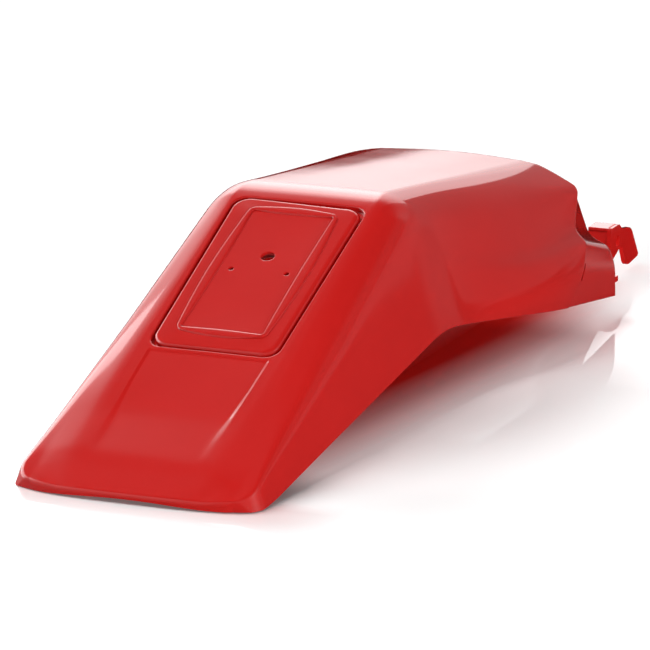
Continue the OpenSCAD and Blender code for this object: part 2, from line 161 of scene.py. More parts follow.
red_plastic = moulded_polypropylene()
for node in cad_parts.values():
    node.data.materials.clear()
    node.data.materials.append(red_plastic)
print("material", red_plastic.name)

# %% [markdown]
# ## The moulded shell
# The fender is one sheet, so it is drawn as one: a cross-section is a corner line with rounded
# corners, and it changes smoothly from the tail to the step. All lengths here are in
# millimetres with y = 0 at the tail, as on a drawing. From the crest forwards each section
# leans more, until the last lies in the slanted plane of the step.

# %% Measures of the shell
WALL = 3.0
TAIL_HALF, TAIL_CORNER, TAIL_BOW, LIP = 82.0, 15.5, 5.6, 1.8
START_H, SLOPE, CREST_Y, CREST_ROUND = 11.3, np.tan(np.radians(23.53)), 277.0, 30.0
DECK_FALL = np.tan(np.radians(6.8))
CREST_H = START_H + CREST_Y * SLOPE
STEP_Y, STEP_LEAN, LEAN_START = 407.8, 1.057, 280.0
STEP_IN, FLANGE_Y = 1.4, 521.0
PAD_Y = 135.6
PANEL_Y, PATCH_LOW, PATCH_HIGH = 116.6, 118.3, 268.0


def ease(a, b, t):
    """A soft step from 0 to 1: u = (t - a) / (b - a) clipped to 0..1, then u * u * (3 - 2 u)."""
    u = np.clip((t - a) / (b - a), 0, 1)
    return u * u * (3 - 2 * u)


def mix(a, b, t):
    return a + (b - a) * t


def soft_min(a, b, w):
    """The smaller of two values, rounded where they lie closer than w by (w - |a - b|)^2 / 4w."""
    return np.minimum(a, b) - np.maximum(w - np.abs(a - b), 0) ** 2 / (4 * w)


def soft_max(a, b, w):
    return -soft_min(-a, -b, w)


def lean(v):
    return STEP_LEAN * ease(LEAN_START, STEP_Y, v)


def meet(a, b, v):
    """Height where the section that starts at v on the floor meets the line a + b y."""
    return (a + b * v) / (1 - b * lean(v))


def top_height(v):
    """Centre line: the slope and the falling deck, blended by a parabola over the crest."""
    blend = (SLOPE + DECK_FALL) * CREST_ROUND / 2
    return soft_min(meet(START_H, SLOPE, v), meet(CREST_H + DECK_FALL * CREST_Y, -DECK_FALL, v), blend)


def edge_height(v):
    """Lower edge: on the floor, then rising 0.181 a millimetre, then falling 0.141."""
    rise = meet(-0.181 * 20.4, 0.181, v)
    fall = meet(0.181 * (280 - 20.4) + 0.141 * 280, -0.141, v)
    return soft_max(np.zeros_like(v), soft_min(rise, fall, 7), 3)


print("crest", round(float(top_height(np.array(286.0))), 1), "mm high")

# %% Corner line of a section
def section_corners(v):
    """Seven corners of the right half of each section, from the centre to the lower edge.

    A corner at height z lies at y = v + lean z; the crown tapers up the slope and the deck
    widens again, and the side's three corners change into waist, shoulder and bulge.
    """
    l, zt, ze = lean(v), top_height(v), edge_height(v)
    yt = v + l * zt
    zc = zt - soft_min(3 + 0.0275 * yt, 13.5 + 0 * yt, 3)
    yc = v + l * zc
    drop = mix(0.25, 0.6, ease(262, 330, yt)) + 1.5 * ease(280, 500, yt)
    flat = mix(48, 52, ease(20, 110, yt)) + 10 * ease(280, 500, yt)
    xc = soft_max(mix(78, 77, ease(0, 60, yc)) - 0.036 * yc, 64 + 0.165 * (yc - 310), 10)
    ye = v + l * ze
    xe = soft_min(soft_max(TAIL_HALF + 0.032 * ye, 90.5 + 0.2 * (ye - 300), 5), 115.4 + 0 * ye, 5)
    cut = np.array([0.42, 0.52, 0.82])
    sx, sz = mix(xc[:, None], xe[:, None], cut), mix(zc[:, None], ze[:, None], cut)
    wx = np.stack([102.0 + 0 * v, 113.5 + 0 * v, 118.8 + 0 * v], 1)
    wz = np.stack([66.8 + 0 * v, 61.0 + 0 * v, (59.5 + ze) / 2 + 1], 1)
    g = ease(STEP_Y - 110, STEP_Y - 5, v)[:, None]
    sx, sz = mix(sx, wx, g), mix(sz, wz, g)
    x = np.column_stack([0 * v, flat, xc, sx, xe])
    z = np.column_stack([zt, zt - drop, zc, sz, ze])
    return np.stack([x, v[:, None] + l[:, None] * z, z], 2)


def crease(y):
    """Half width of the sunk tail panel: 37 mm near the tail end and 40 mm below the pad."""
    return np.interp(y, [0, 44, 90, 117], [37.2, 36.8, 39.4, 40.0])


BENDS = [9, 15, 9, 9, 9]
STRAIGHTS = [6, 9, 3, 3, 9]


def crown_share(x, end):
    """Share of the fall from the centre to x = end: x^2 / 60 up to 30 mm, then x - 15, scaled."""
    return np.where(x < 30, x * x / 60, x - 15) / (end - 15)


def sample_sections(c, r):
    """Corner lines with parabola corners: B(t) = (1-t)^2 A + 2t(1-t) C + t^2 B."""
    length = np.linalg.norm(np.diff(c, axis=1), axis=2)
    r = np.minimum(r, 0.46 * np.minimum(length[:, :-1], length[:, 1:]))
    before = mix(c[:, 1:-1], c[:, :-2], (r / length[:, :-1])[..., None])
    after = mix(c[:, 1:-1], c[:, 2:], (r / length[:, 1:])[..., None])
    x_start, k = before[:, 0, 0], crease(c[:, 0, 1])
    fine = np.array([-2.6, -1.9, -1.3, -0.8, -0.4, 0, 0.4, 0.8, 1.3, 1.9, 2.6])
    xs = np.column_stack([
        (k - 2.6)[:, None] * np.linspace(0, 1, 14)[None, :-1],
        k[:, None] + fine,
        mix((k + 2.6)[:, None], x_start[:, None], np.linspace(0, 1, 4)[None, 1:]),
    ])
    start = mix(c[:, :1], before[:, :1], crown_share(xs, x_start[:, None])[..., None])
    start[..., 0] = xs
    parts = [start]
    for n in range(5):
        t = np.linspace(0, 1, BENDS[n])[None, 1:, None]
        parts.append((1 - t) ** 2 * before[:, n, None] + 2 * t * (1 - t) * c[:, n + 1, None] + t * t * after[:, n, None])
        end = before[:, n + 1, None] if n < 4 else c[:, 6, None]
        t = np.linspace(0, 1, STRAIGHTS[n] + 1)[None, 1:, None]
        parts.append(mix(after[:, n, None], end, t))
    return np.concatenate(parts, 1)


def section_radii(v):
    """Rounding at the flat's edge, the crown and the side's three corners."""
    g = ease(STEP_Y - 60, STEP_Y, v)
    return np.stack([5 + 9 * ease(262, 320, v), mix(13, 6, g), mix(14, 7, g), mix(14, 3, g), mix(14, 12, g)], 1)


def soften(grid, first, rounds):
    """Averages each point with its neighbours along the section, (a + 2b + c) / 4, rounds times."""
    for _ in range(rounds):
        grid[:, first:-1] = (grid[:, first - 1 : -2] + 2 * grid[:, first:-1] + grid[:, first + 1 :]) / 4
    return grid


rows_v = np.unique(np.round(np.concatenate([
    LIP * (1 - np.cos(np.radians(np.linspace(0, 90, 12)))),
    np.arange(2.4, 6, 0.8), np.arange(6, 30, 2.0), np.arange(30, 112, 4.0), np.arange(112, 118.3, 0.6),
    [PATCH_LOW], np.arange(121, 250, 3.2), np.arange(250, PATCH_HIGH, 2.0), [PATCH_HIGH],
    np.arange(270, 310, 2.0), np.arange(310, STEP_Y, 3.0), [STEP_Y],
]), 3))
corner_points = section_corners(rows_v)
half = sample_sections(corner_points, section_radii(rows_v))
N_CENTRE = 13 + 11 + 3
half = soften(half, N_CENTRE + 1, 8)
print("half sections", half.shape)

# %% Tail end and sunk panel
def tail_form(p, v, c, panel):
    """Rounds the tail: plan corners, the bow of the end, the rolled end and the sunk panel.

    Plan corner: x (1 - (R - sqrt(R^2 - (R - y)^2)) / half width). Roll: z (1 - 0.5 (1 - v/32)^3), half as much at the sides.
    Edge: the height above the lower edge times (1 - u^3)^(1/3), where u = 1 - v/r.
    """
    zc, ze = c[:, 2, 2][:, None], c[:, 6, 2][:, None]
    h = np.clip((zc - p[..., 2]) / np.maximum(1, zc - ze), 0, 1)
    v = v[:, None]
    y = p[..., 1] + TAIL_CORNER * 0.2929 * np.maximum(0, 1 - v / TAIL_CORNER) * h
    k = np.maximum(0, TAIL_CORNER - y)
    cut = TAIL_CORNER - np.sqrt(np.maximum(0, TAIL_CORNER**2 - k * k))
    x = p[..., 0] * (1 - cut / TAIL_HALF)
    bow = TAIL_BOW * (1 - np.minimum(1, x / (TAIL_HALF - TAIL_CORNER + 1)) ** 4) * np.maximum(0, 1 - v / 60)
    u = np.maximum(0, 1 - v / LIP)
    roll = 1 - mix(0.5, 0.22, ease(50, 80, p[..., 0])) * np.maximum(0, 1 - v / 32) ** 3
    arch = 2.2 * np.maximum(0, 1 - (x / 64) ** 2) ** 2 * np.maximum(0, 1 - v / 30)
    z = arch + (p[..., 2] * roll - arch) * np.maximum(0, 1 - u**3) ** (1 / 3)
    depth = panel * ease(8, 70, y) ** 0.7
    soft = mix(5.5, 1.0, ease(10, 95, y))
    inside = 1 - ease(-1, 1, (p[..., 0] - crease(y)) / soft)
    along = 1 - ease(PANEL_Y - 1.1, PANEL_Y + 0.9, y)
    z = z - depth * inside * along
    return np.stack([x, y - bow, z], 2)


def whole(rows):
    """Both halves of each row, from the left edge over the centre to the right edge."""
    return np.concatenate([(rows * [-1, 1, 1])[:, :0:-1], rows], 1)


sunk = whole(tail_form(half, rows_v, corner_points, 1.15))
plain = whole(tail_form(half, rows_v, corner_points, 0.0))
print("grid", sunk.shape, "step from", sunk[-1, 0].round(1), "to", sunk[-1, -1].round(1))

# %% [markdown]
# ## Flange, lining and edges
# In front of the step the wall drops 1.4 mm and goes on as a thinner flange. The lining is
# the same sheet moved 3 mm along its normals. Where outer sheet and lining meet, six rings
# run round the whole boundary, so every edge is rounded as a moulded edge is.

# %% Flange rows
step_c = corner_points[-1]
flange_c = np.array([
    step_c[0] + [0, 8, -0.95],
    step_c[1] + [0, 8, -0.95],
    step_c[2] + [-2, 1.5, -2],
    [95.5, FLANGE_Y + 6, 52.5],
    [111.8, FLANGE_Y, 48],
    [116.8, FLANGE_Y, 34.5],
    [116.9, FLANGE_Y, step_c[6, 2] - 0.141 * (FLANGE_Y - step_c[6, 1])],
])
flange_end = whole(sample_sections(flange_c[None], np.array([[14.0, 4, 7, 5, 10]])))[0]
step_row = plain[-1]
forward = flange_end - step_row
forward /= np.linalg.norm(forward, axis=1)[:, None]
jog = [(0.25, 0.04), (0.55, 0.2), (0.8, 0.5), (0.9, 0.9), (0.92, 1.4)]
flange_at = np.array([0.02, 0.042, 0.07, 0.1, 0.145, 0.19, 0.25, 0.35, 0.5, 0.65, 0.8, 0.9, 0.96, 1])
front_rows = np.concatenate([
    [step_row + forward * ahead for ahead, _ in jog],
    [mix(step_row, flange_end, f) for f in flange_at],
])
inset = np.concatenate([np.zeros(len(plain)), [d for _, d in jog], np.full(len(flange_at), STEP_IN)])
print("front rows", front_rows.shape)


# %% Lining
def sheet_normals(g):
    """Unit normals, across x along; level along the outer boundary, so edges keep their height."""
    n = np.cross(np.gradient(g, axis=1), np.gradient(g, axis=0))
    n[0, :, 2] = n[:, 0, 2] = n[:, -1, 2] = 0
    return n / np.linalg.norm(n, axis=2)[..., None]


base = np.concatenate([plain, front_rows])
normals = sheet_normals(base)
normals[len(plain) : len(plain) + len(jog) + 1] = normals[len(plain) + len(jog) + 1]
outer = np.concatenate([sunk, front_rows]) - inset[:, None, None] * normals
inner = base - WALL * normals
inner[..., 2] = np.maximum(inner[..., 2], 0)
print("lining", inner.shape, "lowest", inner[..., 2].min())


# %% Collecting points and faces
class Surface:
    """Collects blocks of points and the faces between them, then builds one mesh."""

    def __init__(self):
        self.blocks, self.faces, self.count = [], [], 0

    def add(self, block):
        """Stores a block of points and returns their numbers in the same layout."""
        size = int(np.prod(block.shape[:-1]))
        numbers = np.arange(self.count, self.count + size).reshape(block.shape[:-1])
        self.blocks.append(block.reshape(-1, 3))
        self.count += size
        return numbers

    def skin(self, n, keep=None):
        """Four-sided faces of a grid of point numbers; keep says which of them stay."""
        quads = np.stack([n[:-1, :-1], n[:-1, 1:], n[1:, 1:], n[1:, :-1]], 2)
        self.faces += (quads[keep] if keep is not None else quads.reshape(-1, 4)).tolist()

    def rings(self, *loops):
        """Joins closed loops of point numbers one to the next."""
        for a, b in zip(loops, loops[1:]):
            self.faces += np.stack([a, np.roll(a, -1), np.roll(b, -1), b], 1).tolist()

    def build(self, name, material):
        mesh = bpy.data.meshes.new(name)
        mesh.from_pydata(np.concatenate(self.blocks) * 0.001 - [0, TAIL_TO_MIDDLE, 0], [], self.faces)
        shape = bmesh.new()
        shape.from_mesh(mesh)
        bmesh.ops.recalc_face_normals(shape, faces=shape.faces)
        shape.to_mesh(mesh)
        shape.free()
        mesh.polygons.foreach_set("use_smooth", np.ones(len(mesh.polygons), bool))
        mesh.set_sharp_from_angle(angle=np.radians(42))
        mesh.materials.append(material)
        piece = bpy.data.objects.new(name, mesh)
        bpy.context.scene.collection.objects.link(piece)
        return piece


def boundary(block):
    """The closed line of points round a grid, with the next points inside it."""
    m, n = block.shape[:2]
    i = np.concatenate([np.zeros(n - 1), np.arange(m - 1), np.full(n - 1, m - 1), np.arange(m - 1, 0, -1)]).astype(int)
    j = np.concatenate([np.arange(n - 1), np.full(m - 1, n - 1), np.arange(n - 1, 0, -1), np.zeros(m - 1)]).astype(int)
    return (i, j), (np.clip(i, 1, m - 2), np.clip(j, 1, n - 2))


def towards(a, b, d):
    """The point d millimetres from a on the way to b."""
    step = b - a
    return a + d * step / np.maximum(np.linalg.norm(step, axis=-1, keepdims=True), 1e-9)


shell = Surface()
line, inside = boundary(outer)
o_edge, i_edge = outer[line], inner[line]
o_in, i_in = outer[inside], inner[inside]
thick = i_edge - o_edge
edge_rings = [
    towards(o_edge, o_in, 0.16) + 0.05 * thick,
    o_edge + 0.18 * thick,
    o_edge + 0.82 * thick,
    towards(i_edge, i_in, 0.16) - 0.05 * thick,
]
outer[line] = towards(o_edge, o_in, np.minimum(0.5, 0.8 * np.linalg.norm(o_in - o_edge, axis=1))[:, None])
inner[line] = towards(i_edge, i_in, np.minimum(0.5, 0.8 * np.linalg.norm(i_in - i_edge, axis=1))[:, None])
outer_n, inner_n = shell.add(outer), shell.add(inner)
shell.rings(outer_n[line], *[shell.add(ring) for ring in edge_rings], inner_n[line])
print("boundary of", len(line[0]), "points")

# %% [markdown]
# ## Pocket, pad and bead
# The lamp and plate pad sits in a pocket of the slope, behind a narrow moat. It is built from
# closed rings that all have as many points as the edge of the hole left in the grid. Most are
# rounded rectangles in the plane of the slope, given by how far they lie inside the pocket and
# how high above the slope. The frame bead follows with a lens-shaped plan on each side.

# %% Hole in the grid
N_HALF = half.shape[1] - 1
row_low = int(np.where(rows_v == PATCH_LOW)[0][0])
row_high = int(np.where(rows_v == PATCH_HIGH)[0][0])
col_low, col_high = N_HALF - N_CENTRE + 1, N_HALF + N_CENTRE - 1


def rim_line(n):
    """Point numbers round the hole: along the bottom, up the right side, back and down."""
    return np.concatenate([
        n[row_low, col_low:col_high],
        n[row_low:row_high, col_high],
        n[row_high, col_high:col_low:-1],
        n[row_high:row_low:-1, col_low],
    ])


across, along = col_high - col_low, row_high - row_low
side = np.repeat([0, 1, 2, 3], [across, along, across, along])
rim_points = outer.reshape(-1, 3)[rim_line(np.arange(outer[..., 0].size).reshape(outer.shape[:2]))]
share = np.zeros(len(side))
for k in range(4):
    here = np.where(side == k)[0]
    ends = np.append(rim_points[here], rim_points[[(here[-1] + 1) % len(side)]], 0)
    run = np.cumsum(np.linalg.norm(np.diff(ends, axis=0), axis=1))
    share[here] = np.append(0, run[:-1]) / run[-1]
print("hole edge of", len(side), "points")

# %% Rings in the plane of the slope
COS, SIN = np.cos(np.arctan(SLOPE)), np.sin(np.arctan(SLOPE))
ALONG = np.array([[1, 0], [0, 1], [-1, 0], [0, -1]])
OUT = np.array([[0, -1], [1, 0], [0, 1], [-1, 0]])


def rounded_outline(half_w, low, high, r):
    """Points and outward normals of a rounded rectangle.

    Each side runs from the middle of one corner arc to the middle of the next; a share of its
    length lands on the first arc, the straight or the second arc.
    """
    e, n = ALONG[side], OUT[side]
    depth = np.where(side % 2, half_w, (high - low) / 2)
    straight = 2 * (np.where(side % 2, (high - low) / 2, half_w) - r)
    arc = r * np.pi / 4
    a = share * (straight + 2 * arc)
    turn = (np.maximum(a - arc - straight, 0) - np.maximum(arc - a, 0)) / r
    slide = np.clip(a - arc, 0, straight) - straight / 2
    normal = n * np.cos(turn)[:, None] + e * np.sin(turn)[:, None]
    point = n * (depth - r)[:, None] + e * slide[:, None] + r * normal
    return point + [0, (low + high) / 2], normal


def pocket_ring(d, r):
    """The pocket's outline moved inwards by d; it is 2 mm wider on each side at its top end."""
    point, normal = rounded_outline(44.5 - d, -17.6 + d, 138.4 - d, r)
    point[:, 0] *= 1 + (point[:, 1] - 60.4) / 78 / 44.5
    return point, normal


def on_slope(point, h, sheet=0.0):
    """Places (x, s) at height h above the slope; sheet = 1 follows the crown and the crest."""
    y = PAD_Y + point[:, 1] * COS
    fall = 0.226 * crown_share(np.abs(point[:, 0]), 47.0) + START_H + SLOPE * y - top_height(y)
    h = h - sheet * fall * COS
    z = START_H + PAD_Y * SLOPE + point[:, 1] * SIN + h * COS
    return np.column_stack([point[:, 0], y - h * SIN, z])


rings = [shell.add(on_slope(pocket_ring(-1.3, 10.3)[0], 0.0, 1.0))]
for turn in np.radians(np.linspace(0, 90, 6)):
    rings.append(shell.add(on_slope(pocket_ring(-1 + np.sin(turn), 9.5)[0], -1 + np.cos(turn), 1.0)))
rings.append(shell.add(on_slope(pocket_ring(0.02, 9)[0], -2.0, 1.0)))
rings.append(shell.add(on_slope(pocket_ring(0.1, 9)[0], -3.6, 0.5)))
rings.append(shell.add(on_slope(pocket_ring(0.5, 9)[0], -4.0)))
rings.append(shell.add(on_slope(pocket_ring(1.2, 10)[0], -4.0)))
wall_ring, _ = pocket_ring(1.6, 11)
roundness = mix(2.2, 4.3, ease(-35, 40, wall_ring[:, 0]))
rings.append(shell.add(on_slope(wall_ring, -3.6)))
for turn in np.radians(np.linspace(0, 90, 10)):
    d = roundness * (1 - np.cos(turn))
    inward = wall_ring - pocket_ring(1.6, 11)[1] * d[:, None]
    rings.append(shell.add(on_slope(inward, 0.8 - roundness + roundness * np.sin(turn))))
shell.rings(rim_line(outer_n), *rings)
print("pocket and pad rings", len(rings))

# %% Frame bead
bow = np.sin(np.pi * np.where(side % 2, share, share)) ** 0.9
bead_line, bead_out = rounded_outline(29.1, 0.0, 125.2, 3.2)
bead_width = mix(2.6, 7.4, bow) / 2
bead = []
for q, lift in [(1.25, 0), (1, 0.03), (0.93, 0.42), (0.84, 0.8), (0.7, 0.97), (0.35, 1), (-0.35, 1), (-0.7, 0.97),
                (-0.84, 0.8), (-0.93, 0.42), (-1, 0.03), (-1.25, 0)]:
    shifted = bead_line + bead_out * (bow * 1.0 + q * bead_width)[:, None]
    bead.append(shell.add(on_slope(shifted, 0.8 + 1.2 * lift)))
    bead_inside = shifted
shell.rings(rings[-1], *bead)
print("bead rings", len(bead))


# %% Flat faces with the holes
def circle(x, s, r, count):
    t = np.linspace(0, 2 * np.pi, count, endpoint=False)
    return np.column_stack([x + r * np.cos(t), s + r * np.sin(t)])


def inside_loop(p, loop):
    """Crossing count: a point is inside when a level ray from it crosses the loop an odd number of times."""
    a, b = loop, np.roll(loop, -1, 0)
    spans = (a[None, :, 1] > p[:, None, 1]) != (b[None, :, 1] > p[:, None, 1])
    with np.errstate(divide="ignore", invalid="ignore"):
        cross = a[:, 0] + (p[:, None, 1] - a[:, 1]) / (b[:, 1] - a[:, 1]) * (b[:, 0] - a[:, 0])
    return (spans & (p[:, None, 0] < cross)).sum(1) % 2 == 1


def flat_fill(loops, numbers):
    """Triangles between an outer loop and hole loops in one plane, by constrained Delaunay."""
    flat = np.concatenate(loops)
    index = np.concatenate(numbers)
    starts = np.cumsum([0] + [len(loop) for loop in loops])
    edges = np.concatenate([
        np.column_stack([np.arange(a, b), np.roll(np.arange(a, b), -1)]) for a, b in zip(starts, starts[1:])
    ])
    result = delaunay_2d_cdt([Vector(p) for p in flat.tolist()], edges.tolist(), [], 0, 1e-6)
    triangles = np.array([[result[3][v][0] for v in face] for face in result[2]])
    middle = flat[triangles].mean(1)
    keep = inside_loop(middle, loops[0])
    for hole in loops[1:]:
        keep &= ~inside_loop(middle, hole)
    shell.faces += index[triangles[keep]].tolist()


HOLES = [(0.0, 79.3, 4.45, 48, 4.0), (18.9, 63.7, 1.65, 28, 2.5), (-18.9, 63.7, 1.65, 28, 2.5)]
BACK = -6.5
top_loops, top_numbers, back_loops, back_numbers = [bead_inside], [bead[-1]], [], []
for x, s, r, count, wider in HOLES:
    wide = circle(x, s, r + 0.9, count)
    back = r + wider
    chain = [(r + 0.9, 0.8), (r + 0.35, 0.8), (r + 0.1, 0.7), (r, 0.45), (r, -1.2), (r + 0.2, -1.4), (back, -1.4),
             (back, BACK + 0.3), (back + 0.3, BACK), (back + 0.9, BACK)]
    numbers = [shell.add(on_slope(circle(x, s, radius, count), h)) for radius, h in chain]
    shell.rings(*numbers)
    top_loops.append(wide)
    top_numbers.append(numbers[0])
    back_loops.append(circle(x, s, back + 0.9, count))
    back_numbers.append(numbers[-1])
flat_fill(top_loops, top_numbers)
print("holes", len(HOLES))

# %% Underside of the pad
tray = [(-2.6, -2.4, 11.6), (-2.5, -6.1, 11.5), (-2.1, -6.5, 11.1), (-1.2, -6.5, 10.2)]
tray_rings = [shell.add(on_slope(pocket_ring(d, r)[0], h)) for d, h, r in tray]
shell.rings(rim_line(inner_n), *tray_rings)
flat_fill([pocket_ring(-1.2, 10.2)[0], *back_loops], [tray_rings[-1], *back_numbers])

# %% Skins and slots
i, j = np.meshgrid(np.arange(len(outer) - 1), np.arange(outer.shape[1] - 1), indexing="ij")
keep = ~((i >= row_low) & (i < row_high) & (j >= col_low) & (j < col_high))
step_heights = step_row[:, 2]
first_flange = len(plain) + len(jog)
for low, high, start, end in [(66, 78, 3, 5), (39, 51, 1, 3)]:
    for sign in (-1, 1):
        columns = np.where((step_heights >= low) & (step_heights <= high) & (step_row[:, 0] * sign > 0))[0]
        a, b = columns.min(), columns.max()
        c, d = first_flange + start, first_flange + end
        keep &= ~((i >= c) & (i < d) & (j >= a) & (j < b))
        loops = [
            np.concatenate([n[c, a:b], n[c:d, b], n[d, b:a:-1], n[d:c:-1, a]]) for n in (outer_n, inner_n)
        ]
        shell.rings(*loops)
shell.skin(outer_n, keep)
shell.skin(inner_n, keep)
fender = shell.build("fender_shell", red_plastic)
print("shell", len(fender.data.polygons), "faces")

# %% [markdown]
# ## Front arms
# Each arm is a 3 mm plate that hangs from the wall, with a small bracket, a hook for the frame
# and a foot. The outline is the side view of the real arm, extruded sideways, and a narrow
# bevel rounds its edges.

# %% Arms
ARM_X, ARM_T, HOLE_Y, HOLE_H = 80.5, 3.0, 619.0, 25.0
side_fall = (step_c[1, 2] - step_c[2, 2]) / (step_c[2, 0] - step_c[1, 0])
deck_h = step_c[1, 2] - side_fall * (ARM_X - ARM_T / 2 - step_c[1, 0])
root_y, cheek_y = STEP_Y + STEP_LEAN * deck_h, HOLE_Y - 18
web = [(0.24, 46.5), (0.335, 36.5), (0.433, 26.4), (0.506, 16.8), (0.722, 7), (0.873, 0.5), (1, -4.5)]
hook = [(-15, -5.5), (-12.7, 11.2), (3, 11.2), (9, 6.5), (24, 4.3), (28.2, 1.2), (40.8, -18.3), (39, -19.7),
        (22.4, -21.5), (18, -21), (15, -18.5), (11.7, -11.6), (8.9, -6.4), (4, -5.5), (-2, -8.5), (-9, -11),
        (-11, -19), (-12, -25), (-19, -25), (-24, -16.5)]
arm_line = np.array([
    [root_y - 40, deck_h + 1.6], [root_y - 2, deck_h - 1.7],
    *[[mix(root_y, cheek_y, t), HOLE_H + z] for t, z in web],
    *[[HOLE_Y + y, HOLE_H + z] for y, z in hook],
    [mix(root_y, cheek_y, 0.772), 11.5], [mix(root_y, cheek_y, 0.101), 17], [root_y - 31, 28], [root_y - 40, 60],
])


def rounded_line(p, r, steps):
    """Rounds each corner of a closed line with a parabola that starts r before the corner."""
    back, front = np.roll(p, 1, 0), np.roll(p, -1, 0)
    lb, lf = np.linalg.norm(back - p, axis=1), np.linalg.norm(front - p, axis=1)
    q = np.minimum(r, 0.45 * np.minimum(lb, lf))
    a, b = mix(p, back, (q / lb)[:, None]), mix(p, front, (q / lf)[:, None])
    t = np.linspace(0, 1, steps)[None, :, None]
    return ((1 - t) ** 2 * a[:, None] + 2 * t * (1 - t) * p[:, None] + t * t * b[:, None]).reshape(-1, 2)


def plate(name, outline, hole, x0, x1):
    """A plate in the plane x = const with an outline in (y, z) and a round hole through it."""
    loops = [outline] + ([circle(*hole)] if hole else [])
    surface = Surface()
    edges = []
    flat = np.concatenate(loops)
    starts = np.cumsum([0] + [len(loop) for loop in loops])
    segments = np.concatenate([
        np.column_stack([np.arange(a, b), np.roll(np.arange(a, b), -1)]) for a, b in zip(starts, starts[1:])
    ])
    result = delaunay_2d_cdt([Vector(p) for p in flat.tolist()], segments.tolist(), [], 0, 1e-6)
    triangles = np.array([[result[3][v][0] for v in face] for face in result[2]])
    middle = flat[triangles].mean(1)
    keep = inside_loop(middle, loops[0])
    for loop in loops[1:]:
        keep &= ~inside_loop(middle, loop)
    numbers = [surface.add(np.column_stack([np.full(len(flat), x), flat])) for x in (x0, x1)]
    surface.faces += numbers[0][triangles[keep]].tolist() + numbers[1][triangles[keep][:, ::-1]].tolist()
    for a, b in zip(starts, starts[1:]):
        surface.rings(numbers[0][a:b], numbers[1][a:b])
    piece = surface.build(name, red_plastic)
    bevel = piece.modifiers.new("rounded edges", "BEVEL")
    bevel.width, bevel.segments, bevel.limit_method = 0.0004, 2, "ANGLE"
    bevel.angle_limit = np.radians(50)
    return piece


def box_line(y0, y1, z0, z1):
    return np.array([[y0, z0], [y1, z0], [y1, z1], [y0, z1]], float)


arms = []
for name, sign in (("right", 1), ("left", -1)):
    a, b = sign * (ARM_X - ARM_T), sign * ARM_X
    inner_x = sign * (ARM_X - ARM_T - 14)
    arms.append(plate(f"arm_{name}", rounded_line(arm_line, 1.6, 4), (HOLE_Y, HOLE_H, 3.9, 40), a, b))
    arms.append(plate(f"bracket_top_{name}", box_line(HOLE_Y - 12.7, HOLE_Y + 3, HOLE_H + 8.2, HOLE_H + 11.2), None, inner_x, a + sign * 1.5))
    arms.append(plate(f"bracket_cheek_{name}", box_line(HOLE_Y - 12.7, HOLE_Y - 9.7, HOLE_H - 7, HOLE_H + 9.7), None, inner_x, a + sign * 1.5))
    arms.append(plate(f"foot_{name}", box_line(HOLE_Y - 17, HOLE_Y - 12, 0, 4), None, a, a + sign * 8))
print("arm pieces", len(arms))

# %% Pieces on the frame
for piece in (fender, *arms):
    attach(piece, "root")
    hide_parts("fender")
print("pieces", 1 + len(arms))

# %% [markdown]
# ## Studio
# The fender lies on a white gloss sheet. A broad sun behind it on the left is the overhead
# softbox and throws the soft shadow to the right; a fill from the right lifts the side. Neither
# shows in the gloss. What the gloss shows is the room: a bright backdrop low behind it on the
# left, which washes out the deck, and black flags on the right, which keep the side deep red.
# The sheet carries painted light as well: to the gloss it is a painted glow, white on the left
# and dark on the right; to the camera its shadow is painted red under the arch, with painted
# light on the shadow's rim.

# %% Floor
def ramp(tree, stops, value):
    """A colour ramp of greys: stops are (place, grey) pairs, with value as its factor."""
    node = add_node(tree, "ShaderNodeValToRGB", Fac=value)
    band = node.color_ramp
    for place, _ in stops[1:-1]:
        band.elements.new(place)
    for element, (place, grey) in zip(band.elements, stops):
        element.position = place
        element.color = (grey, grey, grey, 1)
    return node


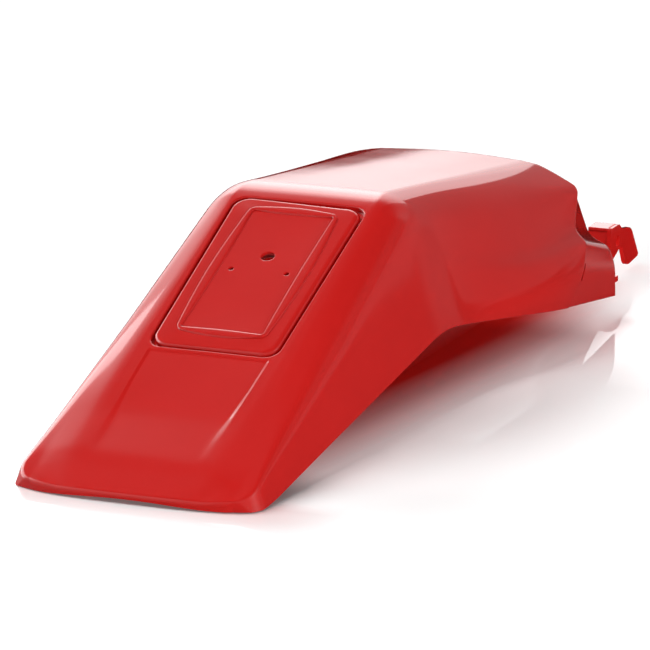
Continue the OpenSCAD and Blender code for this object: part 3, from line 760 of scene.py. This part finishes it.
def floor_sheet():
    """A flat grid with corners at plus and minus six metres."""
    mesh = bpy.data.meshes.new("floor")
    mesh.from_pydata([(-6, -6, 0), (6, -6, 0), (6, 6, 0), (-6, 6, 0)], [], [(0, 1, 2, 3)])
    floor = bpy.data.objects.new("floor", mesh)
    bpy.context.scene.collection.objects.link(floor)
    material, tree = new_material("white gloss sheet")
    ray = add_node(tree, "ShaderNodeLightPath")
    place = add_node(tree, "ShaderNodeTexCoord")
    axes = add_node(tree, "ShaderNodeSeparateXYZ", Vector=(place, "Object"))
    # Painted reflection: to the gloss the sheet is not lit paper but a painted glow, white on the left and dark on the
    # right, ahead of the step further right
    shift = add_node(tree, "ShaderNodeMapRange", {"interpolation_type": "SMOOTHSTEP"},
                     Value=(axes, "Y"), From_Min=0.1, From_Max=0.5, To_Min=0.0, To_Max=-0.3)
    shifted = add_node(tree, "ShaderNodeMath", {"operation": "ADD"}, _0=(axes, "X"), _1=(shift, "Result"))
    flag = add_node(tree, "ShaderNodeMapRange", {"interpolation_type": "SMOOTHSTEP"},
                    Value=(shifted, "Value"), From_Min=-0.25, From_Max=0.02, To_Min=0.9, To_Max=0.08)
    # Close beside the arms the painted glow is dark, so that their plates stay deep red
    beside_arm = add_node(tree, "ShaderNodeMapRange", {"interpolation_type": "SMOOTHSTEP"},
                          Value=(axes, "X"), From_Min=0.128, From_Max=0.144, To_Min=0.0, To_Max=1.0)
    before_arm = add_node(tree, "ShaderNodeMapRange", {"interpolation_type": "SMOOTHSTEP"},
                          Value=(axes, "Y"), From_Min=0.2, From_Max=0.25, To_Min=1.0, To_Max=0.0)
    lit = add_node(tree, "ShaderNodeMath", {"operation": "MAXIMUM"}, _0=(beside_arm, "Result"), _1=(before_arm, "Result"))
    flag = add_node(tree, "ShaderNodeMath", {"operation": "MULTIPLY"}, _0=(flag, "Result"), _1=(lit, "Value"))
    # The mirror is weak at the tail and under the fender, and under the arch the sheet's colour is painted red, a
    # painted red shade
    along = add_node(tree, "ShaderNodeMapRange", {"interpolation_type": "SMOOTHSTEP"},
                     Value=(axes, "Y"), From_Min=0.02, From_Max=0.14, To_Min=0.02, To_Max=0.2)
    beside = add_node(tree, "ShaderNodeMapRange", {"interpolation_type": "SMOOTHSTEP"},
                      Value=(axes, "X"), From_Min=0.1, From_Max=0.15, To_Min=0.0, To_Max=1.0)
    gloss = add_node(tree, "ShaderNodeMath", {"operation": "MULTIPLY"}, _0=(along, "Result"), _1=(beside, "Result"))
    for axis, start, end in (("X", 0.3, 0.5), ("Y", 0.4, 0.65)):
        fade = add_node(tree, "ShaderNodeMapRange", {"interpolation_type": "SMOOTHSTEP"},
                        Value=(axes, axis), From_Min=start, From_Max=end, To_Min=1.0, To_Max=0.0)
        gloss = add_node(tree, "ShaderNodeMath", {"operation": "MULTIPLY"}, _0=(gloss, "Value"), _1=(fade, "Result"))
    # Close to the tail end the sheet mirrors its edge
    close = add_node(tree, "ShaderNodeMapRange", {"interpolation_type": "SMOOTHSTEP"},
                     Value=(axes, "Y"), From_Min=-0.372, From_Max=-0.326, To_Min=0.03, To_Max=0.36)
    behind = add_node(tree, "ShaderNodeMapRange", Value=(axes, "Y"), From_Min=-0.29, From_Max=-0.31, To_Min=0.0, To_Max=1.0)
    close = add_node(tree, "ShaderNodeMath", {"operation": "MULTIPLY"}, _0=(close, "Result"), _1=(behind, "Result"))
    sideways = add_node(tree, "ShaderNodeMath", {"operation": "ABSOLUTE"}, _0=(axes, "X"))
    beyond = add_node(tree, "ShaderNodeMapRange", {"interpolation_type": "SMOOTHSTEP"},
                      Value=(sideways, "Value"), From_Min=0.15, From_Max=0.085, To_Min=0.0, To_Max=1.0)
    close = add_node(tree, "ShaderNodeMath", {"operation": "MULTIPLY"}, _0=(close, "Value"), _1=(beyond, "Result"))
    gloss = add_node(tree, "ShaderNodeMath", {"operation": "MAXIMUM"}, _0=(gloss, "Value"), _1=(close, "Value"))
    # Painted shade: under the fender's right wall, from the tail to the front, the sheet's colour is painted from
    # white to red
    under = add_node(tree, "ShaderNodeMapRange", {"interpolation_type": "SMOOTHSTEP"},
                     Value=(axes, "X"), From_Min=0.115, From_Max=0.052, To_Min=0.0, To_Max=1.0)
    in_arch = add_node(tree, "ShaderNodeMapRange", {"interpolation_type": "SMOOTHSTEP"},
                       Value=(axes, "Y"), From_Min=-0.3, From_Max=-0.1, To_Min=0.0, To_Max=1.0)
    at_front = add_node(tree, "ShaderNodeMapRange", {"interpolation_type": "SMOOTHSTEP"},
                        Value=(axes, "Y"), From_Min=0.29, From_Max=0.19, To_Min=0.0, To_Max=1.0)
    at_left = add_node(tree, "ShaderNodeMapRange", Value=(axes, "X"), From_Min=-0.12, From_Max=-0.08, To_Min=0.0, To_Max=1.0)
    on_right = add_node(tree, "ShaderNodeMapRange", Value=(axes, "X"), From_Min=0.0, From_Max=0.04, To_Min=0.0, To_Max=1.0)
    painted_shade_share = (under, "Result")
    for limit in (in_arch, at_front, on_right):
        painted_shade_share = (add_node(tree, "ShaderNodeMath", {"operation": "MULTIPLY"}, _0=painted_shade_share, _1=(limit, "Result")), "Value")
    painted_red_shade = add_node(tree, "ShaderNodeMix", {"data_type": "RGBA"}, _0=painted_shade_share, _6=linear("#ffffff"), _7=linear("#c4201c"))
    paper = add_node(tree, "ShaderNodeBsdfDiffuse", Color=(painted_red_shade, 2))
    # Away from the fender the sheet is a little whiter to the camera, so that it meets the room
    near = add_node(tree, "ShaderNodeMapRange", {"interpolation_type": "SMOOTHSTEP"},
                    Value=(axes, "X"), From_Min=0.24, From_Max=0.16, To_Min=0.0, To_Max=1.0)
    past_tail = add_node(tree, "ShaderNodeMapRange", {"interpolation_type": "SMOOTHSTEP"},
                         Value=(axes, "Y"), From_Min=-0.34, From_Max=-0.24, To_Min=0.0, To_Max=1.0)
    near = add_node(tree, "ShaderNodeMath", {"operation": "MULTIPLY"}, _0=(near, "Result"), _1=(past_tail, "Result"))
    near = add_node(tree, "ShaderNodeMath", {"operation": "MULTIPLY"}, _0=(near, "Value"), _1=(at_left, "Result"))
    ahead = add_node(tree, "ShaderNodeMapRange", Value=(axes, "Y"), From_Min=0.5, From_Max=0.3, To_Min=0.0, To_Max=1.0)
    near = add_node(tree, "ShaderNodeMath", {"operation": "MULTIPLY"}, _0=(near, "Value"), _1=(ahead, "Result"))
    far_white = add_node(tree, "ShaderNodeMath", {"operation": "MULTIPLY_ADD"}, _0=(near, "Value"), _1=-0.16, _2=0.16)
    camera_white = add_node(tree, "ShaderNodeMath", {"operation": "MULTIPLY"}, _0=(far_white, "Value"), _1=(ray, "Is Camera Ray"))
    white = add_node(tree, "ShaderNodeEmission", Strength=(camera_white, "Value"))
    paper = add_node(tree, "ShaderNodeAddShader", _0=(paper, "BSDF"), _1=(white, "Emission"))
    # Painted light: a glow that only the camera sees pales the rim of the shadow, painted red under the edge and
    # painted pale pink beside it
    slant = add_node(tree, "ShaderNodeMath", {"operation": "MULTIPLY_ADD"}, _0=(axes, "Y"), _1=-0.13, _2=-0.013)
    from_edge = add_node(tree, "ShaderNodeMath", {"operation": "ADD"}, _0=(axes, "X"), _1=(slant, "Value"))
    rim = add_node(tree, "ShaderNodeMapRange", Value=(from_edge, "Value"), From_Min=-0.05, From_Max=0.25, To_Min=0.0, To_Max=1.0)
    pale = ramp(tree, [((x + 0.05) / 0.3, light) for x, light in painted_rim_light], (rim, "Result"))
    ends = [add_node(tree, "ShaderNodeMapRange", {"interpolation_type": "SMOOTHSTEP"},
                     Value=(axes, "Y"), From_Min=a, From_Max=b, To_Min=0.0, To_Max=1.0) for a, b in ((-0.29, -0.22), (0.23, 0.16))]
    pale = (pale, "Color")
    for limit in (*[(end, "Result") for end in ends], (ray, "Is Camera Ray")):
        pale = (add_node(tree, "ShaderNodeMath", {"operation": "MULTIPLY"}, _0=pale, _1=limit), "Value")
    painted_redness = add_node(tree, "ShaderNodeMapRange", Value=(from_edge, "Value"), From_Min=0.035, From_Max=0.1, To_Min=1.0, To_Max=0.08)
    pink = add_node(tree, "ShaderNodeMix", {"data_type": "RGBA"}, _0=(painted_redness, "Result"), _6=linear("#ffeded"), _7=linear("#c4201c"))
    # The painted rim light is this emission on the sheet, which only the camera sees
    glow = add_node(tree, "ShaderNodeEmission", Color=(pink, 2), Strength=pale)
    paper = add_node(tree, "ShaderNodeAddShader", _0=(paper, "Shader"), _1=(glow, "Emission"))
    mirror = add_node(tree, "ShaderNodeBsdfGlossy", Color=linear("#ffffff"), Roughness=0.015)
    seen = add_node(tree, "ShaderNodeMixShader", Fac=(gloss, "Value"), _1=(paper, "Shader"), _2=(mirror, "BSDF"))
    # The sheet's painted glow, which only glossy rays see
    painted_gloss_glow = add_node(tree, "ShaderNodeEmission", Strength=(flag, "Value"))
    sheet = add_node(tree, "ShaderNodeMixShader", Fac=(ray, "Is Glossy Ray"), _1=(seen, "Shader"), _2=(painted_gloss_glow, "Emission"))
    add_node(tree, "ShaderNodeOutputMaterial", Surface=(sheet, "Shader"))
    mesh.materials.append(material)
    floor.location.z = -0.0003
    floor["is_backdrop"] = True
    return floor


def gloss_card(name, brightness, corners):
    """A card that only the gloss sees: a flag that darkens it or a reflector that lights it."""
    mesh = bpy.data.meshes.new(name)
    mesh.from_pydata(corners, [], [(0, 1, 2, 3)])
    card = bpy.data.objects.new(name, mesh)
    bpy.context.scene.collection.objects.link(card)
    material, tree = new_material(name)
    glow = add_node(tree, "ShaderNodeEmission", Color=linear("#ffffff"), Strength=brightness)
    add_node(tree, "ShaderNodeOutputMaterial", Surface=(glow, "Emission"))
    mesh.materials.append(material)
    card.visible_camera = card.visible_diffuse = card.visible_shadow = card.visible_transmission = False
    card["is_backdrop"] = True
    return card


# Painted light on the rim of the shadow, by distance from its middle line, in metres
painted_rim_light = [(-0.05, 0), (0.0, 0.17), (0.035, 0.2), (0.06, 0.24), (0.08, 0.36), (0.1, 0.4), (0.11, 0.37), (0.12, 0.27),
             (0.135, 0.16), (0.15, 0.09), (0.2, 0.05), (0.25, 0)]
floor = floor_sheet()
# The flag stands ahead on the right and ends the white of the deck; the reflector on the left
# gives the tail's left corner its broad highlight
flag = gloss_card("grey flag", 0.26, [(-0.023, 0.45, 0.124), (3.0, 0.45, 0.124), (3.0, 0.45, 0.3), (0.035, 0.45, 0.3)])
reflector = gloss_card("reflector", 4.8, [(-0.46, -0.4, 0.02), (-0.46, 0.08, 0.02), (-0.46, 0.19, 0.42), (-0.46, -0.4, 0.42)])
print("floor", floor.dimensions[:], "flag", flag.dimensions[:])


# %% Room
world = bpy.data.worlds.new("white studio")
bpy.context.scene.world = world
world.use_nodes = True
world.node_tree.nodes.clear()
tree = world.node_tree
ray = add_node(tree, "ShaderNodeLightPath")
direction = add_node(tree, "ShaderNodeTexCoord")
axes = add_node(tree, "ShaderNodeSeparateXYZ", Vector=(direction, "Generated"))
# Brightness by height of the direction: brightest from 15 to 38 degrees, dim above 45 degrees
heights = [(0.0, 0.36), (0.1, 0.39), (0.2, 0.6), (0.31, 0.85), (0.42, 1), (0.58, 1), (0.66, 0.6), (0.72, 0.22), (0.78, 0.08), (0.87, 0.03), (1, 0.015)]
by_height = ramp(tree, heights, (axes, "Z"))
# Brightness by compass direction, from behind the camera round the left, back and right
turn = add_node(tree, "ShaderNodeMath", {"operation": "ARCTAN2"}, _0=(axes, "X"), _1=(axes, "Y"))
share_of_turn = add_node(tree, "ShaderNodeMapRange", Value=(turn, "Value"), From_Min=-np.pi, From_Max=np.pi)
compass = [(-180, 0.1), (-135, 0.3), (-100, 0.9), (-75, 1.1), (-62, 0.8), (-57, 0.4), (-47, 0.36), (-42, 0.9), (-22, 1), (-15, 0.48), (0, 0.38), (5, 0.38), (6.5, 0.1),
           (16, 0.06), (24, 0.09), (30, 0.11), (35, 0.03), (46, 0.03), (56, 0.13), (66, 0.16), (85, 0.35), (110, 0.1), (180, 0.1)]
by_compass = ramp(tree, [((a + 180) / 360, grey) for a, grey in compass], (share_of_turn, "Result"))
room_light = add_node(tree, "ShaderNodeMath", {"operation": "MULTIPLY"}, _0=(by_height, "Color"), _1=(by_compass, "Color"))
room = add_node(tree, "ShaderNodeMath", {"operation": "MULTIPLY_ADD"}, _0=(room_light, "Value"), _1=4.6, _2=0.03)
gloss_sees = add_node(tree, "ShaderNodeBackground", Strength=(room, "Value"), Color=linear("#ffffff"))
ambient = add_node(tree, "ShaderNodeBackground", Color=linear("#ffffff"), Strength=0.13)
seen = add_node(tree, "ShaderNodeBackground", Color=linear("#ffffff"), Strength=1.0)
light = add_node(tree, "ShaderNodeMixShader", Fac=(ray, "Is Glossy Ray"), _1=(ambient, "Background"), _2=(gloss_sees, "Background"))
sky = add_node(tree, "ShaderNodeMixShader", Fac=(ray, "Is Camera Ray"), _1=(light, "Shader"), _2=(seen, "Background"))
add_node(tree, "ShaderNodeOutputWorld", Surface=(sky, "Shader"))
print("room nodes", len(tree.nodes))


# %% Lamps
def lamp(name, kind, place, target, energy, **settings):
    """A lamp at place that shines at target; it lights the matt colour, not the gloss."""
    data = bpy.data.lights.new(name, kind)
    data.energy = energy
    for key, value in settings.items():
        setattr(data, key, value)
    item = bpy.data.objects.new(name, data)
    item.location = place
    item.rotation_euler = (Vector(target) - Vector(place)).to_track_quat("-Z", "Y").to_euler()
    item.visible_glossy = False
    bpy.context.scene.collection.objects.link(item)
    return item


key = lamp("overhead softbox", "SUN", (-1.25, 0.25, 1.7), (0, 0, 0), 1.01 * np.pi, angle=np.radians(44))
fill = lamp("fill softbox", "AREA", (2.0, -1.3, 0.4), (0, 0, 0.06), 40, shape="RECTANGLE", size=1.5, size_y=0.8)
on_fender = bpy.data.collections.new("lit by the fill")
for piece in (fender, *arms):
    on_fender.objects.link(piece)
fill.light_linking.receiver_collection = on_fender
casting = bpy.data.collections.new("cast the soft shadow")
casting.objects.link(fender)
key.light_linking.blocker_collection = casting
print("lamps", key.name, fill.name)

# %% [markdown]
# ## Size
# The box round the visual model is printed. The visual model must stay inside the CAD
# box.

# %% Sizes and finish
low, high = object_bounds()
print("visual box", [round(v, 4) for v in (*low, *high)])
